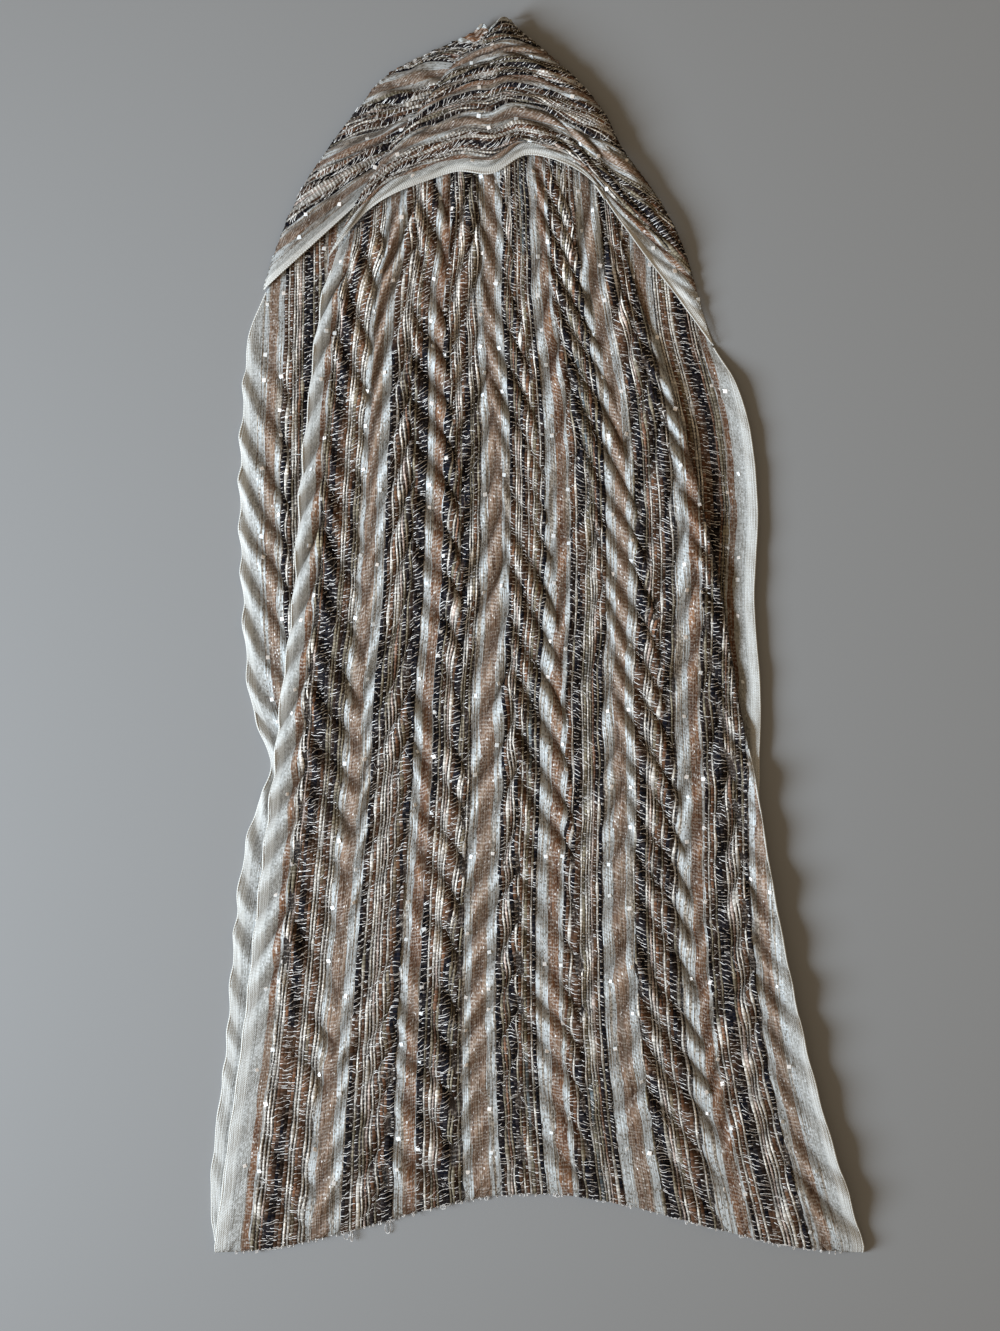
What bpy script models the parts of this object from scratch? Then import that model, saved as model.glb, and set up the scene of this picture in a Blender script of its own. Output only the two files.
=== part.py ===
"""Pleated infinity scarf, laid flat with a half turn at its top.

The scarf is one closed loop of sheer striped cloth, about 160 cm round. It lies flattened on a
table: the back panel is underneath, the front panel lies on it, and both top corners of the back
panel are turned over to the front. The right turn crosses over the left one and becomes an arch
that the front panel comes out from under. Lengthwise runs along Y with the top at +Y, and the
origin is on the table at the middle of the outline.
"""

from math import cos, pi, sin, sqrt

import bmesh
import bpy
import numpy as np
from mathutils import Vector

MM = 0.001

# Cloth and layers, in millimetres
LENGTH = 800.0
CLOTH_WALL = 1.5
LAYER_GAP = 0.3
TABLE_GAP = 0.3
BACK_VALLEY = 1.4
PLEAT_DEPTH = 2.5
BACK_TOP = BACK_VALLEY + PLEAT_DEPTH
FRONT_BASE = BACK_TOP + LAYER_GAP
FRONT_TOP = FRONT_BASE + PLEAT_DEPTH + CLOTH_WALL

# Chevron pleats: folds every half repeat, zigzagging from one lengthwise column to the next
PLEAT_REPEAT = 30.0
PLEAT_SHIFT = 24.0
PLEAT_FADE = 110.0
FRONT_COLUMNS = 9
BACK_COLUMNS = 12
BACK_PLEATED_TO = 590.0
BACK_PLEAT_END = 50.0
FRONT_END_LEFT = 650.0
FRONT_END_SLOPE = 40.0
FRONT_END_ARCH = 60.0
FRONT_SHARE_OF_LENGTH = 0.85

# Bottom fold, where the front panel turns under into the back panel
BOTTOM_BOW = 38.0
BOTTOM_HALF_WIDTH = 209.0
FOLD_REACH = 5.0
FOLD_STEPS = 3

# Outline of both panels. Each section: height above the bottom corners, then the left and right
# edges of the back panel and of the front panel, measured from the middle.
SECTION_COLUMNS = ("up", "back_left", "back_right", "front_left", "front_right")
SECTIONS = (
    (5, -209, 208, -209, 211),
    (35, -212, 197, -205, 202),
    (66, -210, 187, -201, 192),
    (131, -202, 170, -192, 174),
    (200, -197, 154, -184, 159),
    (254, -191, 146, -178, 149),
    (287, -183, 143, -174, 144),
    (309, -174, 143, -171, 140),
    (359, -186, 144, -166, 130),
    (424, -191, 140, -158, 119),
    (489, -193, 142, -154, 105),
    (554, -191, 132, -148, 86),
    (589, -188, 117, -144, 71),
    (625, -179, 104, -138, 51),
    (650, -171, 96, -130, 47),
    (687, -155, 77, -126, 43),
    (717, -136, 55, -126, 43),
    (742, -117, 42, -126, 43),
    (766, -95, 21, -126, 43),
    (783, -60, 1, -126, 43),
    (794, -38, -12, -126, 43),
    (800, -26, -18, -126, 43),
)

# White lower edge of the right turn, from its left tip over the arch to its right tip
ARCH_EDGE = (
    (-135, 646), (-108, 677), (-76, 693), (-50, 701), (-30, 699), (-5, 712),
    (16, 707), (35, 696), (48, 679), (67, 653), (93, 621), (117, 589),
)

# Line where the right turn rolls under, from its left tip up to the top
ROLLED_EDGE = ((-135, 646), (-112, 689), (-95, 716), (-73, 744), (-54, 770), (-31, 789))

# The two turns as fans of threads. Each thread: share of the cloth's width from the white edge,
# and how high it meets the left outline (left turn) or the right outline (right turn).
FAN_COLUMNS = ("share", "left_up", "right_up")
FAN = (
    (0.00, 625, 589),
    (0.25, 684, 655),
    (0.50, 723, 722),
    (0.70, 754, 756),
    (0.85, 775, 779),
    (1.00, 794, 797),
)

# Left turn: it rests on the back panel and ends tucked in under the rolled edge
LEFT_CELLS = (9, 18)
LEFT_MEETS = (0.42, 0.98)
LEFT_TUCK = (11.0, -3.3)
LEFT_LIFT = 7.0
LEFT_RISE = 3.4
LEFT_RISE_SHARE = 0.33
LEFT_RIDGES = 6
LEFT_RELIEF = 1.2
LEFT_RIDGES_FROM = 0.25

# Right turn: its edge rests on the front panel and further right on the back panel, its rolled
# edge rests on the left turn, and the arch flattens towards the top
RIGHT_CELLS = (30, 14)
RIGHT_EDGE_REST = FRONT_TOP + LAYER_GAP
FRONT_ENDS_AT = 0.72
EDGE_DROPS_OVER = 0.2
RIGHT_CROWN = 13.6
RIGHT_CROWN_REACH = 34.0
RIGHT_ROLL_REST = 10.8
RIGHT_OVER_LEFT_SHARE = 0.17
RIGHT_RIDGES = 7
RIGHT_RELIEF = 1.5
ARCH_FLATTENS = 1.8
APEX_LIFT = 7.0

# Rolls where the cloth turns over, and how far the back panel stays inside them
TURN_ROLL = 13.0
ROLLED_EDGE_ROLL = 7.0
BACK_INSET = 3.4
INSET_OVER = 30.0

INNER_CENTRE = (-22.0, 757.0)
INNER_SIZE = (58.0, 34.0, 8.4)

BACK_CLOTH = (0.56, 0.49, 0.42, 1.0)
FRONT_CLOTH = (0.33, 0.26, 0.21, 1.0)
LEFT_CLOTH = (0.45, 0.36, 0.29, 1.0)
RIGHT_CLOTH = (0.27, 0.21, 0.17, 1.0)
INNER_CLOTH = (0.40, 0.34, 0.29, 1.0)


def ease(share):
    """Smooth step from 0 to 1."""
    share = min(max(share, 0.0), 1.0)
    return share * share * (3.0 - 2.0 * share)


def quarter_round(share):
    """Height of a quarter circle, 0 at its foot and 1 from its crown on."""
    share = min(max(share, 0.0), 1.0)
    return sqrt(1.0 - (1.0 - share) ** 2)


def follow(knots, values, at):
    """Smooth curve through the values at the knots."""
    slopes = np.gradient(values, knots)
    row = int(np.clip(np.searchsorted(knots, at) - 1, 0, len(knots) - 2))
    gap = knots[row + 1] - knots[row]
    t = min(max((at - knots[row]) / gap, 0.0), 1.0)
    start = (1 + 2 * t) * (1 - t) ** 2 * values[row] + t * (1 - t) ** 2 * gap * slopes[row]
    end = t * t * (3 - 2 * t) * values[row + 1] - t * t * (1 - t) * gap * slopes[row + 1]
    return start + end


def column(table, names, name):
    """One named column of a table."""
    return np.array([row[names.index(name)] for row in table], dtype=float)


SECTION_UP = column(SECTIONS, SECTION_COLUMNS, "up")
OUTLINE = {name: column(SECTIONS, SECTION_COLUMNS, name) for name in SECTION_COLUMNS[1:]}
FAN_SHARE = column(FAN, FAN_COLUMNS, "share")


def edge_at(name, up):
    """Where a panel's edge is at a height above the bottom corners."""
    return follow(SECTION_UP, OUTLINE[name], up)


def along(points, share):
    """Point at a share of the length of a smooth curve through the points."""
    points = np.array(points, dtype=float)
    steps = np.hypot(*np.diff(points, axis=0).T)
    reached = np.concatenate([[0.0], np.cumsum(steps)]) / steps.sum()
    return np.array([follow(reached, points[:, 0], share), follow(reached, points[:, 1], share)])


def outline_points(name, low, high, count=60):
    """Points along one side of the outline."""
    return np.array([(edge_at(name, up), up) for up in np.linspace(low, high, count)])


LEFT_TURN_FROM = 612
RIGHT_TURN_FROM = 576
LEFT_OUTLINE = outline_points("back_left", LEFT_TURN_FROM, LENGTH)
RIGHT_OUTLINE = outline_points("back_right", RIGHT_TURN_FROM, LENGTH)
ARCH_LINE = np.array([along(ARCH_EDGE, share) for share in np.linspace(0, 1, 80)])
ROLLED_LINE = np.array([along(ROLLED_EDGE, share) for share in np.linspace(0, 1, 50)])


def distance(point, line):
    """Shortest distance from a point to a dense line of points."""
    return float(np.min(np.hypot(*(line - point).T)))


def bottom_fold(across):
    """Height of the bottom fold, which bows up between its two corners."""
    return BOTTOM_BOW * cos(pi * across / (2 * BOTTOM_HALF_WIDTH)) ** 2


def front_end(share):
    """Height at which the front panel ends, hidden under the arch."""
    return FRONT_END_LEFT + FRONT_END_SLOPE * share + FRONT_END_ARCH * sin(pi * share)


def zigzag(column_number):
    return 1 if column_number % 2 else -1


def to_world(across, up, height):
    """Millimetres in the outline's own measure to metres around the origin."""
    return Vector((across * MM, (up - LENGTH / 2) * MM, height * MM))


def plain_cloth(name, colour):
    material = bpy.data.materials.new(name)
    material.use_nodes = True
    shader = material.node_tree.nodes["Principled BSDF"]
    shader.inputs["Base Color"].default_value = colour
    shader.inputs["Roughness"].default_value = 0.85
    shader.inputs["Metallic"].default_value = 0.0
    return material


def sheet(name, cells, place, colour):
    """Grid of cloth whose every point is put in place by place(column, row)."""
    across, rows = cells
    build = bmesh.new()
    bmesh.ops.create_grid(build, x_segments=across, y_segments=rows, size=1.0)
    for vert in build.verts:
        vert.co = place(round((vert.co.x + 1) / 2 * across), round((vert.co.y + 1) / 2 * rows))
    bmesh.ops.recalc_face_normals(build, faces=build.faces)
    if sum(face.normal.z for face in build.faces) < 0:
        bmesh.ops.reverse_faces(build, faces=build.faces)
    mesh = bpy.data.meshes.new(name)
    build.to_mesh(mesh)
    build.free()
    mesh.materials.append(plain_cloth(name, colour))
    panel = bpy.data.objects.new(name, mesh)
    scarf.objects.link(panel)
    return panel


def give_wall(panel):
    """Turn a sheet, drawn as the cloth's underside, into a wall of cloth above it."""
    wall = panel.modifiers.new("cloth wall", "SOLIDIFY")
    wall.thickness = CLOTH_WALL * MM
    wall.offset = 1.0
    wall.use_rim = True


def fill_to_table(panel):
    """Turn a sheet into a solid whose underside is flat on the table."""
    build = bmesh.new()
    build.from_mesh(panel.data)
    top = list(build.verts)
    bmesh.ops.extrude_face_region(build, geom=build.faces[:])
    for vert in top:
        vert.co.z = 0.0
    bmesh.ops.recalc_face_normals(build, faces=build.faces)
    if build.calc_volume(signed=True) < 0:
        bmesh.ops.reverse_faces(build, faces=build.faces)
    build.to_mesh(panel.data)
    build.free()


def back_panel():
    """Lower layer: flat underneath, chevron pleats on top, ends just inside the turns."""
    rows = 2 * round(LENGTH / PLEAT_REPEAT)

    def place(column_number, row):
        share = column_number / BACK_COLUMNS
        reach = row / rows
        guess = edge_at("back_left", 5) * (1 - share) + edge_at("back_right", 5) * share
        start = bottom_fold(guess) + CLOTH_WALL + FOLD_REACH + LAYER_GAP
        up = start + reach * (LENGTH - BACK_INSET - start)
        pleated = ease((up - start) / PLEAT_FADE)
        pleated = pleated * ease((BACK_PLEATED_TO - up) / PLEAT_FADE)
        up = up + zigzag(column_number) * PLEAT_SHIFT * pleated
        left = edge_at("back_left", up) + BACK_INSET * ease((up - LEFT_TURN_FROM) / INSET_OVER + 0.4)
        right = edge_at("back_right", up) - BACK_INSET * ease((up - RIGHT_TURN_FROM) / INSET_OVER + 0.4)
        relief = PLEAT_DEPTH * ease((BACK_PLEATED_TO - up) / BACK_PLEAT_END)
        height = BACK_VALLEY + relief * (row % 2)
        return to_world(left + share * (right - left), up, height)

    panel = sheet("back_panel", (BACK_COLUMNS, rows), place, BACK_CLOTH)
    fill_to_table(panel)


def front_panel():
    """Upper layer: a pleated wall of cloth that rolls down at the bottom fold."""
    rows = 2 * round(FRONT_SHARE_OF_LENGTH * LENGTH / PLEAT_REPEAT)

    def place(column_number, row):
        share = column_number / FRONT_COLUMNS
        guess = edge_at("front_left", 5) * (1 - share) + edge_at("front_right", 5) * share
        fold_line = bottom_fold(guess) + CLOTH_WALL
        if row < FOLD_STEPS:
            turn = pi / 2 * row / FOLD_STEPS
            up = fold_line + FOLD_REACH * (1 - cos(turn))
            height = TABLE_GAP + (FRONT_BASE - TABLE_GAP) * sin(turn)
        else:
            reach = (row - FOLD_STEPS) / (rows - FOLD_STEPS)
            start = fold_line + FOLD_REACH
            up = start + reach * (front_end(share) - start)
            pleated = ease((up - start) / PLEAT_FADE) * ease((front_end(share) - up) / PLEAT_FADE)
            up = up + zigzag(column_number) * PLEAT_SHIFT * pleated
            height = FRONT_BASE + PLEAT_DEPTH * ((row - FOLD_STEPS) % 2)
        left = edge_at("front_left", up)
        right = edge_at("front_right", up)
        return to_world(left + share * (right - left), up, height)

    give_wall(sheet("front_panel", (FRONT_COLUMNS, rows), place, FRONT_CLOTH))


def ridges(share, count, relief):
    """Soft folds that run along the threads of a turn."""
    return relief * abs(2 * ((share * count) % 1.0) - 1)


def left_turn():
    """Left corner turned to the front: threads fan from the left outline in under the arch."""
    columns, rows = LEFT_CELLS
    starts = column(FAN, FAN_COLUMNS, "left_up")

    def place(column_number, row):
        share = row / rows
        reach = (column_number / columns) ** 1.6
        up = follow(FAN_SHARE, starts, share)
        start = np.array([edge_at("back_left", up) + CLOTH_WALL, up])
        met = LEFT_MEETS[0] + (LEFT_MEETS[1] - LEFT_MEETS[0]) * share
        end = along(ROLLED_EDGE, met) + np.array(LEFT_TUCK)
        point = start + reach * (end - start)
        point[1] += LEFT_LIFT * share * (1 - share) * sin(pi * reach)
        rise = LEFT_RISE * ease(share / LEFT_RISE_SHARE)
        folds = ridges(share, LEFT_RIDGES, LEFT_RELIEF) * ease(reach / LEFT_RIDGES_FROM)
        rest = FRONT_BASE + rise + folds
        roll = quarter_round(distance(point, LEFT_OUTLINE + (CLOTH_WALL, 0)) / TURN_ROLL)
        return to_world(*point, TABLE_GAP + (rest - TABLE_GAP) * roll)

    give_wall(sheet("left_turn", LEFT_CELLS, place, LEFT_CLOTH))


def right_turn():
    """Right corner turned to the front: it arches over the front panel and the left turn."""
    columns, rows = RIGHT_CELLS
    ends = column(FAN, FAN_COLUMNS, "right_up")
    tip_left = along(ARCH_EDGE, 0)
    tip_right = along(ARCH_EDGE, 1)

    def place(column_number, row):
        share = row / rows
        reach = sin(pi / 2 * column_number / columns) ** 0.9
        up = follow(FAN_SHARE, ends, share)
        start = along(ROLLED_EDGE, share)
        end = np.array([edge_at("back_right", up) - CLOTH_WALL, up - CLOTH_WALL * share])
        bulge = along(ARCH_EDGE, reach) - tip_left - reach * (tip_right - tip_left)
        point = start + reach * (end - start) + (1 - share) ** ARCH_FLATTENS * bulge
        point[1] += APEX_LIFT * share * sin(pi * reach)
        on_front = 1 - ease((reach - FRONT_ENDS_AT) / EDGE_DROPS_OVER)
        edge_rest = FRONT_BASE + (RIGHT_EDGE_REST - FRONT_BASE) * on_front
        crown = ease(distance(point, ARCH_LINE) / RIGHT_CROWN_REACH)
        rest = edge_rest + (RIGHT_CROWN - edge_rest) * crown + ridges(share, RIGHT_RIDGES, RIGHT_RELIEF)
        rolled = quarter_round(distance(point, ROLLED_LINE) / ROLLED_EDGE_ROLL)
        over_left = ease(share / RIGHT_OVER_LEFT_SHARE)
        foot = edge_rest + (RIGHT_ROLL_REST - edge_rest) * over_left
        rest = foot + (rest - foot) * rolled
        roll = quarter_round(distance(point, RIGHT_OUTLINE - (CLOTH_WALL, 0)) / TURN_ROLL)
        return to_world(*point, TABLE_GAP + (rest - TABLE_GAP) * roll)

    give_wall(sheet("right_turn", RIGHT_CELLS, place, RIGHT_CLOTH))


def inner_fold():
    """Hidden gathered cloth inside the turns, as one rounded solid resting on the back panel."""
    build = bmesh.new()
    bmesh.ops.create_uvsphere(build, u_segments=16, v_segments=8, radius=0.5)
    mesh = bpy.data.meshes.new("inner_fold")
    build.to_mesh(mesh)
    build.free()
    mesh.materials.append(plain_cloth("inner_fold", INNER_CLOTH))
    roll = bpy.data.objects.new("inner_fold", mesh)
    roll.location = to_world(*INNER_CENTRE, BACK_VALLEY + LAYER_GAP + INNER_SIZE[2] / 2)
    roll.scale = [size * MM for size in INNER_SIZE]
    scarf.objects.link(roll)


for leftover in list(bpy.data.objects):
    bpy.data.objects.remove(leftover)

scarf = bpy.data.collections.new("infinity_scarf")
bpy.context.scene.collection.children.link(scarf)

back_panel()
front_panel()
left_turn()
right_turn()
inner_fold()
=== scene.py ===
"""Looks of a pleated infinity scarf, laid flat with a half turn at its top.

Every stretch of the loop is a thin shell of cloth with chevron pleats, in the place of its solid.
The cloth's own measure is millimetres across from one selvedge and along its length, so stripes,
slub yarns, weft threads and sequins are all laid out once, in that measure, and carried onto each
stretch by its shape.
"""

import bmesh
import bpy
import numpy as np
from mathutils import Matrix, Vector


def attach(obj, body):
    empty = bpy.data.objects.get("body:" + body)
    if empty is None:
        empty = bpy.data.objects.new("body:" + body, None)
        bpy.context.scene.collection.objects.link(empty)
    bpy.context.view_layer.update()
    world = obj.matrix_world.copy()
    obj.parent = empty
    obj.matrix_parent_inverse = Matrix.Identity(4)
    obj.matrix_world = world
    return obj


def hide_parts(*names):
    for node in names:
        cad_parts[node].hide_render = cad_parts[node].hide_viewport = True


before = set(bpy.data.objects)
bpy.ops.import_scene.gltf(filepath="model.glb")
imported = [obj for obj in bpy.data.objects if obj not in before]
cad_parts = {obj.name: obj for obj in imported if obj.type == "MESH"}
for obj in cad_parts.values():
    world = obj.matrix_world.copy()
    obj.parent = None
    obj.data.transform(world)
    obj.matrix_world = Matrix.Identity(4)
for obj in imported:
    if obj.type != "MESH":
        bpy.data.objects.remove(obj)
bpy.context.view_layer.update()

MM = 0.001
LENGTH = 800.0
CLOTH_WIDTH = 422.0

# Layers above the table: thickness of the cloth, base of each stretch, depth of its pleats, and
# how high the right turn rests at its white edge, its crown and its rolled edge
SHELL = 0.7
TABLE_GAP = 0.3
BACK_BASE = 0.3
BACK_DEPTH = 3.5
BACK_LIFT = 3.0
FRONT_BASE = 4.6
FRONT_DEPTH = 4.5
TURN_DEPTH = 2.8
ARCH_REST = 9.6
TURN_CROWN = 13.8
ROLL_REST = 10.8

# How wide the turns roll down at the outline, and how high the selvedges of the panels curl up
OUTLINE_ROLL = 13.0
FRONT_CURL = 4.0
BACK_CURL = 5.0

# Chevron pleats: one repeat along the cloth, how far a pleat runs along one column, on the flat
# panels and where the cloth is gathered, rows of points in a repeat, and the width of a column, in
# the cloth's own measure and as a share of the front and back panels
PLEAT_REPEAT = 32.0
PLEAT_RUN = 56.0
GATHERED_RUN = 98.0
PLEAT_STEPS = 12
COLUMN_WIDTH = 46.4
FRONT_COLUMN = 0.11
FRONT_FIRST_COLUMN = 0.07
BACK_COLUMN = 0.095

# Bottom fold: how far its middle bows up and over what half width, where the front panel's left
# corner is and how wide it is there, and the reach of the fold and the path round it
BOTTOM_BOW = 38.0
BOTTOM_HALF_WIDTH = 209.0
BOTTOM_LEFT = -209.0
BOTTOM_WIDTH = 420.0
FOLD_REACH = 5.0
FOLD_PATH = 7.0

# Outline of both panels at heights above the bottom corners, and how much of the cloth's width
# shows on the front panel, whose right side is turned under further up.
SECTION_COLUMNS = ("up", "back_left", "back_right", "front_left", "front_right", "shows")
SECTIONS = (
    (5, -209, 208, -209, 211, 422),
    (35, -212, 197, -205, 202, 422),
    (66, -210, 187, -201, 192, 421),
    (131, -202, 170, -192, 174, 419),
    (200, -197, 154, -184, 159, 412),
    (254, -191, 146, -178, 149, 404),
    (287, -183, 143, -174, 144, 398),
    (309, -174, 143, -171, 140, 394),
    (359, -186, 144, -166, 130, 385),
    (424, -191, 140, -158, 119, 370),
    (489, -193, 142, -154, 105, 354),
    (554, -191, 132, -148, 88, 340),
    (589, -188, 117, -144, 76, 334),
    (625, -179, 104, -138, 64, 328),
    (650, -171, 96, -130, 56, 322),
    (687, -155, 77, -126, 46, 312),
    (717, -136, 55, -126, 40, 304),
    (742, -117, 42, -126, 38, 300),
    (766, -95, 21, -126, 38, 300),
    (783, -60, 1, -126, 38, 300),
    (794, -38, -12, -126, 38, 300),
    (800, -26, -18, -126, 38, 300),
)

# Height from which the threads of the back panel no longer follow its outline
TURNS_FROM = 600.0

# White lower edge of the right turn, and the line where the right turn rolls under
ARCH_EDGE = (
    (-135, 646), (-108, 677), (-76, 693), (-50, 701), (-30, 699), (-5, 712),
    (16, 707), (35, 696), (48, 679), (67, 653), (93, 621), (117, 589),
)
ROLLED_EDGE = ((-135, 646), (-112, 689), (-95, 716), (-73, 744), (-54, 770), (-31, 789))

# The two turns as fans of threads: share of the gathered cloth from its white edge, and how high
# each thread meets the left or the right outline. Each turn takes a part of the cloth's width, and
# its threads are gathered by a power of their share.
FAN_COLUMNS = ("share", "left_up", "right_up")
FAN = (
    (0.00, 625, 589),
    (0.25, 684, 655),
    (0.50, 723, 722),
    (0.70, 754, 756),
    (0.85, 775, 779),
    (1.00, 794, 797),
)
RIGHT_TAKES = 228.0
LEFT_TAKES = CLOTH_WIDTH - RIGHT_TAKES
RIGHT_GATHER = 1.2
LEFT_GATHER = 0.95

# Stripes across the cloth: each copper stripe with the pale bands on its two sides. What is left
# between them is open weave. Strong stripes are rust, the others a pinkish beige.
STRIPE_COLUMNS = ("pale_from", "copper_from", "copper_to", "pale_to", "strong")
STRIPES = (
    (15.5, 15.5, 20.0, 22.5, 1),
    (57.5, 62.5, 71.5, 81.0, 0),
    (115.0, 121.0, 129.0, 131.0, 1),
    (162.0, 169.0, 180.0, 189.0, 0),
    (219.0, 229.0, 236.0, 241.0, 1),
    (271.0, 280.0, 290.0, 296.0, 0),
    (330.0, 342.0, 349.5, 353.0, 1),
    (388.0, 392.5, 401.0, 408.0, 0),
)
RIGHT_MARGIN = 408.0

# Slub yarns of each open band, from left to right, one letter a yarn: n is night blue, k near
# black, b brown, r rust, p pink, c cream and o olive; t is the teal that olive darkens to
YARN_WORDS = (
    "ccpbnnkbccrbcc",
    "nkcbccpcbcrbnn",
    "nncbcpcbnnccrc",
    "nbcpcnbcrcobcn",
    "brcnnkcoccpbcn",
    "cbnncpcrbcbnkc",
    "bcrcnnkcpccbcn",
)
PALE_YARNS = "cp"
YARN_DYES = {
    "n": (0.006, 0.007, 0.012),
    "k": (0.017, 0.010, 0.007),
    "b": (0.120, 0.062, 0.034),
    "r": (0.200, 0.098, 0.054),
    "p": (0.640, 0.520, 0.455),
    "c": (0.800, 0.760, 0.690),
    "o": (0.250, 0.215, 0.145),
    "t": (0.140, 0.175, 0.190),
}

# What each yarn's dye darkens and lightens to in places, its width, how much its slubs swell it,
# and how often the weft shows over it
YARN_COLUMNS = ("darker", "lighter", "width", "slub", "weft_shows")
YARNS = {
    "n": ("n", "b", 2.7, 0.3, 0.7),
    "k": ("n", "b", 2.3, 0.3, 0.7),
    "b": ("n", "r", 2.1, 0.4, 0.6),
    "r": ("k", "o", 2.0, 0.4, 0.55),
    "p": ("r", "c", 1.2, 1.2, 0.25),
    "c": ("o", "c", 1.2, 1.5, 0.2),
    "o": ("t", "o", 1.9, 0.5, 0.5),
}
WEFT_PITCH = 2.3
WEFT_WIDTH = 0.36
FIBRE_WIDTH = 0.16

# Steps for slopes on a stretch, and how far its yarns keep clear of its edges and its ends
SHARE_STEP = 0.002
ALONG_STEP = 0.6
EDGE_CLEAR = 0.002
END_CLEAR = 0.5


def ease(share):
    """Smooth step from 0 to 1."""
    share = np.clip(share, 0.0, 1.0)
    return share * share * (3.0 - 2.0 * share)


def climb(value, start, length):
    """Smooth step up of a value, from 0 at the start to 1 a length further on."""
    return ease((value - start) / length)


def drop(value, start, length):
    """Smooth step down of a value, from 1 at the start to 0 a length further on."""
    return 1 - climb(value, start, length)


def hump(value, middle, width):
    """Rounded bump of height 1."""
    return np.exp(-((value - middle) / width) ** 2)


def quarter_round(share):
    """Height of a quarter circle, 0 at its foot and 1 from its crown on."""
    share = np.clip(share, 0.0, 1.0)
    return np.sqrt(1.0 - (1.0 - share) ** 2)


def paired(first, second):
    return np.broadcast_arrays(np.asarray(first, float), np.asarray(second, float))


def drift(x, y, seed):
    """Smooth uneven change between -1 and 1."""
    size = 61
    lattice = np.random.default_rng(seed).uniform(-1, 1, (size, size))
    x, y = paired(x, y)
    left, low = np.floor(x).astype(int), np.floor(y).astype(int)
    s, t = ease(x - left), ease(y - low)

    def row(up):
        here, after = (lattice[(left + step) % size, (low + up) % size] for step in (0, 1))
        return here * (1 - s) + after * s

    return row(0) * (1 - t) + row(1) * t


def follow(knots, values, at):
    """Smooth curve through the values at the knots."""
    knots, values, at = (np.asarray(numbers, float) for numbers in (knots, values, at))
    slopes = np.gradient(values, knots)
    row = np.clip(np.searchsorted(knots, at) - 1, 0, len(knots) - 2)
    gap = knots[row + 1] - knots[row]
    t = np.clip((at - knots[row]) / gap, 0.0, 1.0)
    start = (1 + 2 * t) * (1 - t) ** 2 * values[row] + t * (1 - t) ** 2 * gap * slopes[row]
    end = t * t * (3 - 2 * t) * values[row + 1] - t * t * (1 - t) * gap * slopes[row + 1]
    return start + end


def column(table, names, name):
    """One named column of a table."""
    return np.array([row[names.index(name)] for row in table], dtype=float)


def yarn(letter, name):
    return YARNS[letter][YARN_COLUMNS.index(name)]


SECTION_UP = column(SECTIONS, SECTION_COLUMNS, "up")
OUTLINE = {name: column(SECTIONS, SECTION_COLUMNS, name) for name in SECTION_COLUMNS[1:]}
FAN_SHARE, FAN_LEFT, FAN_RIGHT = (column(FAN, FAN_COLUMNS, name) for name in FAN_COLUMNS)


def edge_at(name, up):
    return follow(SECTION_UP, OUTLINE[name], up)


def edges_at(panel, up):
    """Left and right edge of the front or back panel."""
    return edge_at(panel + "_left", up), edge_at(panel + "_right", up)


def along_line(points, share):
    """Points at shares of the length of a smooth curve through the points."""
    points = np.array(points, dtype=float)
    steps = np.hypot(*np.diff(points, axis=0).T)
    reached = np.concatenate([[0.0], np.cumsum(steps)]) / steps.sum()
    return np.stack([follow(reached, points[:, 0], share), follow(reached, points[:, 1], share)], -1)


def distance(spots, line):
    """Shortest distances from points to a dense line of points."""
    best = np.full(spots.shape[:-1], np.inf)
    for knot in line:
        best = np.minimum(best, np.hypot(spots[..., 0] - knot[0], spots[..., 1] - knot[1]))
    return best


def outline_points(name, low, count=70):
    return np.array([(float(edge_at(name, up)), up) for up in np.linspace(low, LENGTH, count)])


LEFT_OUTLINE = outline_points("back_left", 612) + (SHELL, 0)
RIGHT_OUTLINE = outline_points("back_right", 576) - (SHELL, 0)
ARCH_LINE = along_line(ARCH_EDGE, np.linspace(0, 1, 90))
ROLLED_LINE = along_line(ROLLED_EDGE, np.linspace(0, 1, 60))


# ---------------------------------------------------------------- pleats

def chevron(columns):
    """1 on the columns where pleats point up, 0 on those where they point down; steeper there."""
    arm = np.abs(columns % 2 - 1)
    return arm + 0.045 * np.sin(2 * np.pi * arm)


def pleat_wander(columns, along):
    """How far a pleat line wanders from its even place."""
    return 6.0 * drift(columns * 0.8 + 3, along / 70, 5) + 3.2 * drift(columns * 2.2, along / 22, 6)


def pleat_phase(columns, along, run=PLEAT_RUN):
    return (along - run * chevron(columns) + pleat_wander(columns, along)) / PLEAT_REPEAT


def pleat_profile(phase):
    """Height of a soft knife pleat over one repeat: a long slope up and a shorter one down."""
    share = phase % 1.0
    crest = 0.6
    rise = np.where(share < crest, share / crest, (1 - share) / (1 - crest))
    return 0.55 * rise + 0.45 * ease(rise)


def pleat_strength(columns, along, seed):
    """Uneven depth of the pleats."""
    return np.clip(0.85 + 0.5 * drift(columns * 1.1, along / 40, seed), 0.25, 1.15)


def pleat_sway(columns, phase):
    """Sideways step of the stripes where they cross a pleat."""
    return 0.6 * np.sin(np.pi * (columns + 0.5)) * np.sin(2 * np.pi * phase)


# ---------------------------------------------------------------- the four stretches
# Each one is a function of share, from its left or white edge, and of millimetres along the
# cloth. It gives points in millimetres.

def bottom_fold(share):
    left, right = edges_at("front", 5)
    across = left * (1 - share) + right * share
    return BOTTOM_BOW * np.cos(np.pi * across / (2 * BOTTOM_HALF_WIDTH)) ** 2


def front_length(share):
    """Length of the front panel from the bottom fold to its end under the arch."""
    end = 650 + 40 * share + 60 * np.sin(np.pi * share)
    return end - bottom_fold(share) - 1.5 - FOLD_REACH + FOLD_PATH


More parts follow.
